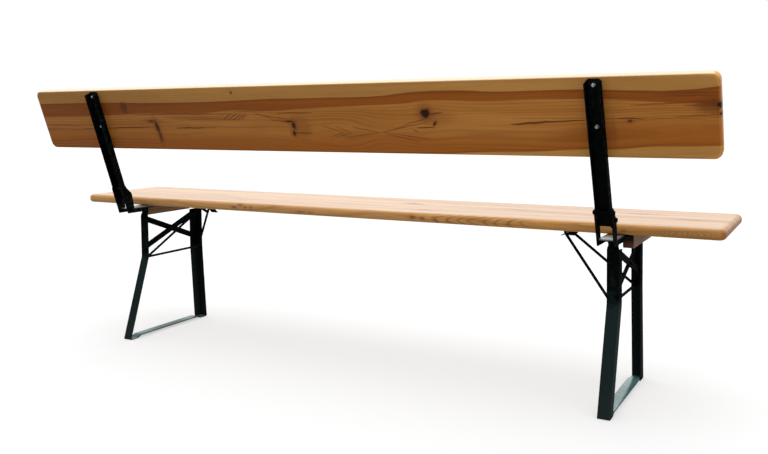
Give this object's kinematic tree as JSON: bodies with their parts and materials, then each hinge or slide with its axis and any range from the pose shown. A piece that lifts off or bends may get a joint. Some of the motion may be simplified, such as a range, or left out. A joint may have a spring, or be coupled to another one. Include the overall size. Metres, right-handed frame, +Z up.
{
  "type": "folding bench",
  "caption": "Long folding bench: wooden seat and fold-down backrest planks on hinged bent angle-steel leg frames with lock rods.",
  "frame": {"origin": "centre of the bounding box, on the floor", "axes": "+X along the bench, +Z up, -Y towards the front edge of the seat, +Y towards the backrest"},
  "size_m": [2.2, 0.5766, 0.8596],
  "materials": {
    "seat_wood": "clear lacquered pine",
    "back_wood": "clear lacquered pine",
    "batten_wood": "lacquered pine, darker",
    "dark_paint": "very dark green satin paint",
    "zinc": "galvanised"
  },
  "bodies": {
    "seat": {"seat_board": "seat_wood", "socket_right": "dark_paint", "socket_left": "dark_paint", "base_plate_right": "zinc", "base_plate_left": "zinc", "pivot_bolt_right": "dark_paint", "pivot_bolt_left": "dark_paint", "stop_bolt_right": "dark_paint", "stop_bolt_left": "dark_paint", "plate_screw_right_1": "zinc", "plate_screw_right_2": "zinc", "plate_screw_left_1": "zinc", "plate_screw_left_2": "zinc", "hinge_rear_right": "dark_paint", "hinge_front_right": "dark_paint", "hinge_rear_left": "dark_paint", "hinge_front_left": "dark_paint", "hinge_pin_rear_right": "dark_paint", "hinge_pin_front_right": "dark_paint", "hinge_pin_rear_left": "dark_paint", "hinge_pin_front_left": "dark_paint", "hinge_screw_right": "zinc", "hinge_screw_left": "zinc", "rod_catch_right": "dark_paint", "rod_catch_left": "dark_paint", "catch_screw_right_1": "zinc", "catch_screw_right_2": "zinc", "catch_screw_left_1": "zinc", "catch_screw_left_2": "zinc", "batten_right": "batten_wood", "batten_left": "batten_wood"},
    "backrest": {"backrest_board": "back_wood", "strut_right": "dark_paint", "strut_left": "dark_paint", "strut_bolt_right_1": "zinc", "strut_bolt_right_2": "zinc", "strut_bolt_left_1": "zinc", "strut_bolt_left_2": "zinc"},
    "leg_right": {"leg_frame_right": "dark_paint", "brace_low_right": "dark_paint", "brace_high_right": "dark_paint", "brace_rivet_low_rear_right": "dark_paint", "brace_rivet_low_front_right": "dark_paint", "brace_rivet_high_rear_right": "dark_paint", "brace_rivet_high_front_right": "dark_paint", "brace_rivet_cross_right": "dark_paint"},
    "leg_left": {"leg_frame_left": "dark_paint", "brace_low_left": "dark_paint", "brace_high_left": "dark_paint", "brace_rivet_low_rear_left": "dark_paint", "brace_rivet_low_front_left": "dark_paint", "brace_rivet_high_rear_left": "dark_paint", "brace_rivet_high_front_left": "dark_paint", "brace_rivet_cross_left": "dark_paint"},
    "rod_right": {"lock_rod_right": "dark_paint"},
    "rod_left": {"lock_rod_left": "dark_paint"}
  },
  "joints": [
    {"name": "backrest_fold", "type": "hinge", "parent": "seat", "child": "backrest", "pos_m": [0, 0.16869, 0.523], "axis": [1, 0, 0], "range_deg": [0, 109.5]},
    {"name": "leg_fold_right", "type": "hinge", "parent": "seat", "child": "leg_right", "pos_m": [0.819, 0, 0.416], "axis": [0, 1, 0], "range_deg": [0, 90]},
    {"name": "leg_fold_left", "type": "hinge", "parent": "seat", "child": "leg_left", "pos_m": [-0.819, 0, 0.416], "axis": [0, -1, 0], "range_deg": [0, 90]},
    {"name": "rod_turn_right", "type": "hinge", "parent": "leg_right", "child": "rod_right", "pos_m": [0.815, 0, 0.2725], "axis": [0, -1, 0], "range_deg": [0, 136.69]},
    {"name": "rod_turn_left", "type": "hinge", "parent": "leg_left", "child": "rod_left", "pos_m": [-0.815, 0, 0.2725], "axis": [0, 1, 0], "range_deg": [0, 136.69]}
  ],
  "couplings": [
    {"joint": "rod_turn_right", "follows": "leg_fold_right", "ratio": 1.5188},
    {"joint": "rod_turn_left", "follows": "leg_fold_left", "ratio": 1.5188}
  ]
}
